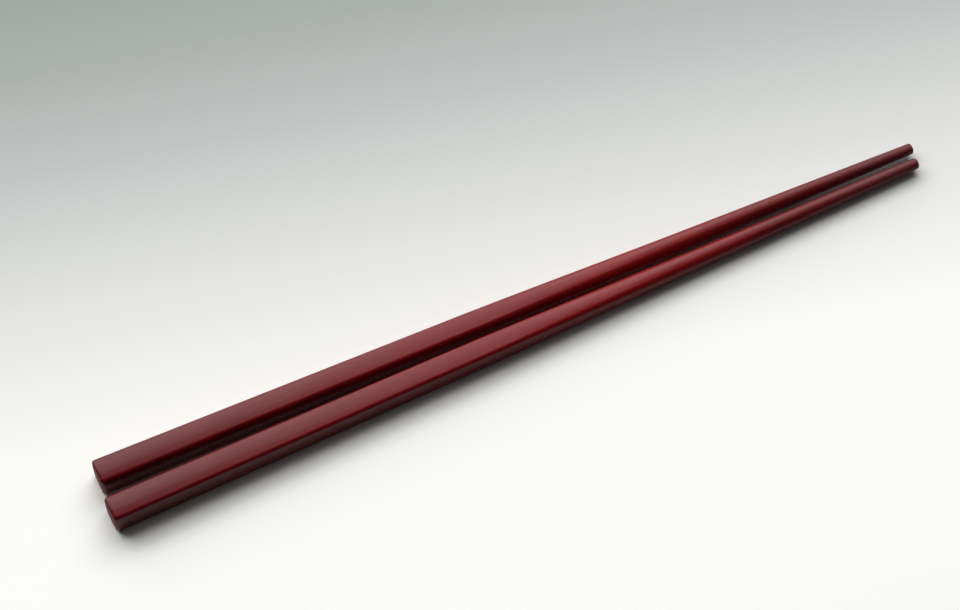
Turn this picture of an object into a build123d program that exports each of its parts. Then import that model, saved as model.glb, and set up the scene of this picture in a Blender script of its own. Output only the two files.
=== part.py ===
from build123d import *
import math
import os

# Sizes of one stick, in millimetres.
# Each stick is one solid moulding: a square handle with rounded-out sides, and a point that turns round.
handle_length = 100.0  # from the handle end to the shoulder, where the corners begin to soften
point_length = 130.0  # from the shoulder to the tip
turn_length = 78.0  # stretch after the shoulder in which the square section turns round
handle_side = 7.7  # across the handle at its end
shoulder_side = 6.4  # across the stick at the shoulder
crown_radius = 14.5  # of the handle's four rounded-out sides, seen in cross-section
corner_radius = 1.1  # of the handle's four long corners
tip_diameter = 2.9  # across the point at the tip
point_fullness = 1.6  # how late the point narrows, where 1 is a straight taper
point_roundness = 0.85  # how round the point gets, where 1 is a true circle

# Ends and underside.
handle_end_radius = 0.8  # rounded edge all round the handle end
tip_rim_radius = 0.5  # rounded rim of the blunt tip
rest_flat_depth = 0.08  # the handle's underside is flattened by this much, so that the stick doesn't roll

# How the pair lies on the table.
handle_gap = 3.1  # clear space between the two sticks at the handle end
tip_gap = 1.7  # clear space between them at the tips
least_gap = 0.5  # the shoulders are laid no closer together than this
rear_stick_lead = 1.0  # how far the rear stick lies ahead of the front one

# Lengths and tapers that follow from the sizes above.
stick_length = handle_length + point_length
handle_taper = (handle_side - shoulder_side) / handle_length
same_taper_end = handle_side - handle_taper * stick_length
point_stretches = 6


def section(reach):
    """Cross-section at a distance from the handle end: four rounded-out sides with rounded corners.

    The handle's taper carries on past the shoulder and the point narrows faster on top of it, so there is
    no crease. In the same stretch the sides and the corners blend into one nearly round outline.
    """
    past_shoulder = max(reach - handle_length, 0)
    narrowing = (same_taper_end - tip_diameter) * (past_shoulder / point_length) ** point_fullness
    half_side = (handle_side - handle_taper * reach - narrowing) / 2
    turned = min(past_shoulder / turn_length, 1)
    blend = turned * turned * (3 - 2 * turned)

    handle_crown = half_side / crown_radius
    side_radius = half_side / (handle_crown + (point_roundness - handle_crown) * blend)
    corner = corner_radius + (half_side * point_roundness - corner_radius) * blend
    offset = side_radius - half_side
    across = Pos(0, offset) * Circle(side_radius) & Pos(0, -offset) * Circle(side_radius)
    outline = across & Rot(0, 0, 90) * across
    return Plane.YZ.offset(reach) * fillet(outline.vertices(), corner)


def make_stick():
    """One stick along +X, with the middle of its handle end at the origin."""
    handle = loft([section(0), section(handle_length)], ruled=True)
    steps = [number / point_stretches for number in range(point_stretches + 1)]
    stick = handle + loft([section(handle_length + point_length * step) for step in steps])

    tip_end = stick.faces().sort_by(Axis.X)[-1]
    stick = fillet(tip_end.edges(), tip_rim_radius)
    handle_end = stick.faces().sort_by(Axis.X)[0]
    return fillet(handle_end.edges(), handle_end_radius)


# A stick lies on the underside of its handle, which leans its axis down by half the taper.
lean = math.degrees(math.atan(handle_taper / 2))
axis_height = handle_side / 2 * math.cos(math.radians(lean))
leaning_stick = Pos(0, 0, axis_height) * Rot(0, lean, 0) * make_stick()
underside = Plane.XY.offset(rest_flat_depth)
lying_stick = Pos(0, 0, -rest_flat_depth) * split(leaning_stick, bisect_by=underside, keep=Keep.TOP)

# The sticks lie side by side with their tips drawn together, as far as their shoulders let them.
handle_pitch = handle_side + handle_gap
shoulder_room = (handle_pitch - shoulder_side - least_gap) * stick_length / handle_length
tip_pitch = max(tip_diameter + tip_gap, handle_pitch - shoulder_room)
swing = math.degrees(math.asin((handle_pitch - tip_pitch) / 2 / stick_length))

# The pair's frame has its origin on the table, in the middle of the space that the pair takes up.
# +X points from the handles to the tips, and +Z points up.
pair = {}
for name, side, lead in (("front_chopstick", -1, 0), ("rear_chopstick", 1, rear_stick_lead)):
    pair[name] = Pos(lead, side * handle_pitch / 2, 0) * Rot(0, 0, -side * swing) * lying_stick

space = Compound(pair.values()).bounding_box()
to_middle = Pos(-space.center().X, -space.center().Y, -space.min.Z)

os.makedirs("parts", exist_ok=True)
for name, placed_stick in pair.items():
    export_step(to_middle * placed_stick, f"parts/{name}.step")
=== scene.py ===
import math

import bpy
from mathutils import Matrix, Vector

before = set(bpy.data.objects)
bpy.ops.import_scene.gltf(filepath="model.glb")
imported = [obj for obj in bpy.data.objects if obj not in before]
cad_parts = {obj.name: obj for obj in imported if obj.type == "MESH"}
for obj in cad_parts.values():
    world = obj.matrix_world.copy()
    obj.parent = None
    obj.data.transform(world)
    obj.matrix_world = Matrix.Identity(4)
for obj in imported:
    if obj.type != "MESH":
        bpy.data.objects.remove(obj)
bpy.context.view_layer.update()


# Front chopstick.
# One solid moulding of burgundy plastic with a lacquer look: a square handle that runs out into a round
# point. It comes out of the mould with a satin skin, and lies loose on its flat underside.
def linear(hex_colour):
    channels = [int(hex_colour[i:i + 2], 16) / 255 for i in (1, 3, 5)]
    return [c / 12.92 if c <= 0.04045 else ((c + 0.055) / 1.055) ** 2.4 for c in channels] + [1.0]


def add_node(tree, kind, inputs=None, **settings):
    """Add a node. Each input has a name or a number, and takes a link from an output or a value."""
    node = tree.nodes.new(kind)
    for setting, value in settings.items():
        setattr(node, setting, value)
    for socket, value in (inputs or {}).items():
        if isinstance(value, bpy.types.NodeSocket):
            tree.links.new(value, node.inputs[socket])
        else:
            node.inputs[socket].default_value = value
    return node


# The plastic gives the eye a deep red body under a satin skin, faintly clouded. Along the stick the red is
# painted
# with light: darker at the handle as painted shade, brighter and warmer past the shoulder as painted light,
# and greyer at the tip as a painted sheen. Drawn-out flow marks change the shine a little, the point is
# duller than the handle, and the handle's end is matt. The grain is finer than a pixel, so it is drawn five
# times as coarse as on the real stick, and very shallow.
stick_half_length = 0.1155
# The handle's red is painted shade, the tip's red a painted sheen, and the reds between are painted light,
# brightest and warmest past the shoulder.
painted_shade_handle_red, handle_end_stop = "#5E060C", 0.05
painted_sheen_tip_red, tip_stop = "#5E1E1E", 0.97
painted_light_reds_between = ((0.25, "#6A070C"), (0.45, "#74080D"), (0.66, "#7E0E0D"), (0.82, "#641012"))
noise_low, noise_high = 0.3, 0.7
cloud_size, cloud_drift = 0.012, 0.05
flow_mark_size = (0.03, 0.0012, 0.0012)
flow_mark_roughness = (0.24, 0.32)
dulling_start, dulling_end, point_dullness = 0.6, 0.95, 0.16
end_facing, side_facing, matt_end_roughness = -0.9, -0.5, 0.65
grain_size = 5 * 0.00024
grain_strength, grain_depth = 0.06, 0.0001
plastic_ior, satin_shine = 1.5, 0.24

plastic = bpy.data.materials.new("lacquer_look_moulded_plastic")
plastic.use_nodes = True
tree = plastic.node_tree
tree.nodes.clear()
place = add_node(tree, "ShaderNodeTexCoord")
along = add_node(tree, "ShaderNodeSeparateXYZ", {"Vector": place.outputs["Object"]})
reach = add_node(tree, "ShaderNodeMapRange", {
    "Value": along.outputs["X"], "From Min": -stick_half_length, "From Max": stick_half_length,
})
cloud = add_node(tree, "ShaderNodeTexNoise", {
    "Vector": place.outputs["Object"], "Scale": 1 / cloud_size, "Detail": 3.0, "Roughness": 0.6,
})
drift = add_node(tree, "ShaderNodeMapRange", {
    "Value": cloud.outputs["Fac"], "From Min": noise_low, "From Max": noise_high,
    "To Min": -cloud_drift, "To Max": cloud_drift,
})
clouded = add_node(tree, "ShaderNodeMath", {
    0: reach.outputs["Result"], 1: drift.outputs["Result"],
}, operation="ADD")
# This ramp paints light and shade along the stick, and the cloud adds a random tone on top.
colour = add_node(tree, "ShaderNodeValToRGB", {"Fac": clouded.outputs["Value"]})
first_stop, last_stop = colour.color_ramp.elements
first_stop.position, first_stop.color = handle_end_stop, linear(painted_shade_handle_red)
last_stop.position, last_stop.color = tip_stop, linear(painted_sheen_tip_red)
for position, red in painted_light_reds_between:
    colour.color_ramp.elements.new(position).color = linear(red)

drawn_out = add_node(tree, "ShaderNodeMapping", {
    "Vector": place.outputs["Object"], "Scale": [1 / size for size in flow_mark_size],
})
flow = add_node(tree, "ShaderNodeTexNoise", {
    "Vector": drawn_out.outputs["Vector"], "Scale": 1.0, "Detail": 2.0,
})
satin = add_node(tree, "ShaderNodeMapRange", {
    "Value": flow.outputs["Fac"], "From Min": noise_low, "From Max": noise_high,
    "To Min": flow_mark_roughness[0], "To Max": flow_mark_roughness[1],
})
dulling = add_node(tree, "ShaderNodeMapRange", {
    "Value": reach.outputs["Result"], "From Min": dulling_start, "From Max": dulling_end,
    "To Min": 0.0, "To Max": point_dullness,
})
dulled = add_node(tree, "ShaderNodeMath", {
    0: satin.outputs["Result"], 1: dulling.outputs["Result"],
}, operation="ADD")
facing = add_node(tree, "ShaderNodeSeparateXYZ", {"Vector": place.outputs["Normal"]})
matt_end = add_node(tree, "ShaderNodeMapRange", {
    "Value": facing.outputs["X"], "From Min": end_facing, "From Max": side_facing,
    "To Min": matt_end_roughness, "To Max": 0.0,
})
roughness = add_node(tree, "ShaderNodeMath", {
    0: dulled.outputs["Value"], 1: matt_end.outputs["Result"],
}, operation="MAXIMUM")
grain = add_node(tree, "ShaderNodeTexNoise", {
    "Vector": place.outputs["Object"], "Scale": 1 / grain_size, "Detail": 1.0,
})
bump = add_node(tree, "ShaderNodeBump", {
    "Height": grain.outputs["Fac"], "Strength": grain_strength, "Distance": grain_depth,
})
skin = add_node(tree, "ShaderNodeBsdfPrincipled", {
    "Base Color": colour.outputs["Color"], "Roughness": roughness.outputs["Value"], "IOR": plastic_ior,
    "Specular IOR Level": satin_shine, "Normal": bump.outputs["Normal"],
})
add_node(tree, "ShaderNodeOutputMaterial", {"Surface": skin.outputs["BSDF"]})

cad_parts["front_chopstick"].material_slots[0].material = plastic

# Rear chopstick.
# The second stick of the pair, one moulding of the same plastic from the same mould.
# It lies loose behind the first and a little ahead of it.
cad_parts["rear_chopstick"].material_slots[0].material = plastic

# Floor.
# A plain sheet of studio paper, white under the pair and shaded to a soft grey behind it.
# It is that pale to the eye and in reflections, and throws less light back, so the sides stay dark.
floor_size = 6.0
shading_start, shading_end = -0.08, 0.14
shading_turn = math.radians(13)
white_in_front, grey_behind = "#FFFFFD", "#8C918E"
greys_between = ((0.3, "#F6F6F3"), (0.5, "#DADBD9"), (0.7, "#B4B7B5"), (0.85, "#9BA09D"))
thrown_back_grey = "#A0A09E"
paper_roughness = 0.9

bpy.ops.object.select_all(action="DESELECT")
bpy.ops.mesh.primitive_plane_add(size=floor_size)
floor = bpy.context.object
floor.name = "floor"

# The paper gives the eye a smooth, matt change from white to grey, with no grain to be seen.
paper = bpy.data.materials.new("graded_studio_paper")
paper.use_nodes = True
tree = paper.node_tree
tree.nodes.clear()
place = add_node(tree, "ShaderNodeTexCoord")
turned = add_node(tree, "ShaderNodeMapping", {
    "Vector": place.outputs["Object"], "Rotation": (0, 0, shading_turn),
})
across = add_node(tree, "ShaderNodeSeparateXYZ", {"Vector": turned.outputs["Vector"]})
backwards = add_node(tree, "ShaderNodeMapRange", {
    "Value": across.outputs["Y"], "From Min": shading_start, "From Max": shading_end,
})
shade = add_node(tree, "ShaderNodeValToRGB", {"Fac": backwards.outputs["Result"]})
first_stop, last_stop = shade.color_ramp.elements
first_stop.position, first_stop.color = 0.0, linear(white_in_front)
last_stop.position, last_stop.color = 1.0, linear(grey_behind)
for position, grey in greys_between:
    shade.color_ramp.elements.new(position).color = linear(grey)
sheet = add_node(tree, "ShaderNodeBsdfPrincipled", {
    "Base Color": shade.outputs["Color"], "Roughness": paper_roughness,
})
bounce = add_node(tree, "ShaderNodeBsdfPrincipled", {
    "Base Color": linear(thrown_back_grey), "Roughness": paper_roughness,
})
path = add_node(tree, "ShaderNodeLightPath")
seen_or_reflected = add_node(tree, "ShaderNodeMath", {
    0: path.outputs["Is Camera Ray"], 1: path.outputs["Is Glossy Ray"],
}, operation="MAXIMUM")
in_view = add_node(tree, "ShaderNodeMath", {
    0: seen_or_reflected.outputs["Value"], 1: path.outputs["Is Transmission Ray"],
}, operation="MAXIMUM")
choice = add_node(tree, "ShaderNodeMixShader", {
    "Fac": in_view.outputs["Value"], 1: bounce.outputs["BSDF"], 2: sheet.outputs["BSDF"],
})
add_node(tree, "ShaderNodeOutputMaterial", {"Surface": choice.outputs["Shader"]})
floor.data.materials.append(paper)

# Light.
# A broad soft light stands behind the pair, as wide as a window, brightest at half height and weak
# overhead. Four soft boxes make it up. The room is dim, so the sides that face the viewer stay dark.
room_grey = (0.035, 0.035, 0.035, 1)
for box_name, box_place, width, height, watts in (
    ("wide_soft_box", Vector((0.1, 0.89, 0.80)), 2.6, 0.38, 15.3),
    ("upper_soft_box", Vector((0.1, 0.56, 1.06)), 2.6, 0.5, 12.2),
    ("overhead_soft_box", Vector((0.1, 0.14, 1.19)), 2.6, 0.45, 0.9),
    ("low_soft_box", Vector((0.2, 1.38, 0.52)), 2.0, 0.62, 8.3),
):
    bpy.ops.object.select_all(action="DESELECT")
    bpy.ops.object.light_add(type="AREA", location=box_place)
    soft_box = bpy.context.object
    soft_box.name = box_name
    soft_box.data.shape = "RECTANGLE"
    soft_box.data.size = width
    soft_box.data.size_y = height
    soft_box.data.energy = watts
    soft_box.rotation_euler = (-box_place).to_track_quat("-Z", "Y").to_euler()

room = bpy.data.worlds.new("room")
room.use_nodes = True
room.node_tree.nodes["Background"].inputs["Color"].default_value = room_grey
bpy.context.scene.world = room

# Camera.
# It stands in front of the handles and looks down along the pair.
# Its place and its lens were fitted to the lines of the pair, together with the sizes of the sticks.
azimuth = math.radians(25.96)
elevation = math.radians(60.0)
aim = Vector((-0.00715, 0.0104, 0.0))
distance = 0.7406
forward = Vector((
    math.sin(azimuth) * math.cos(elevation), math.cos(azimuth) * math.cos(elevation), -math.sin(elevation)
))
bpy.ops.object.camera_add(location=aim - forward * distance)
camera = bpy.context.object
camera.rotation_euler = forward.to_track_quat("-Z", "Y").to_euler()
camera.data.sensor_width = 36.0
camera.data.lens = 108.26
camera.data.clip_start = 0.01
bpy.context.scene.camera = camera
bpy.context.scene.view_settings.view_transform = "Standard"
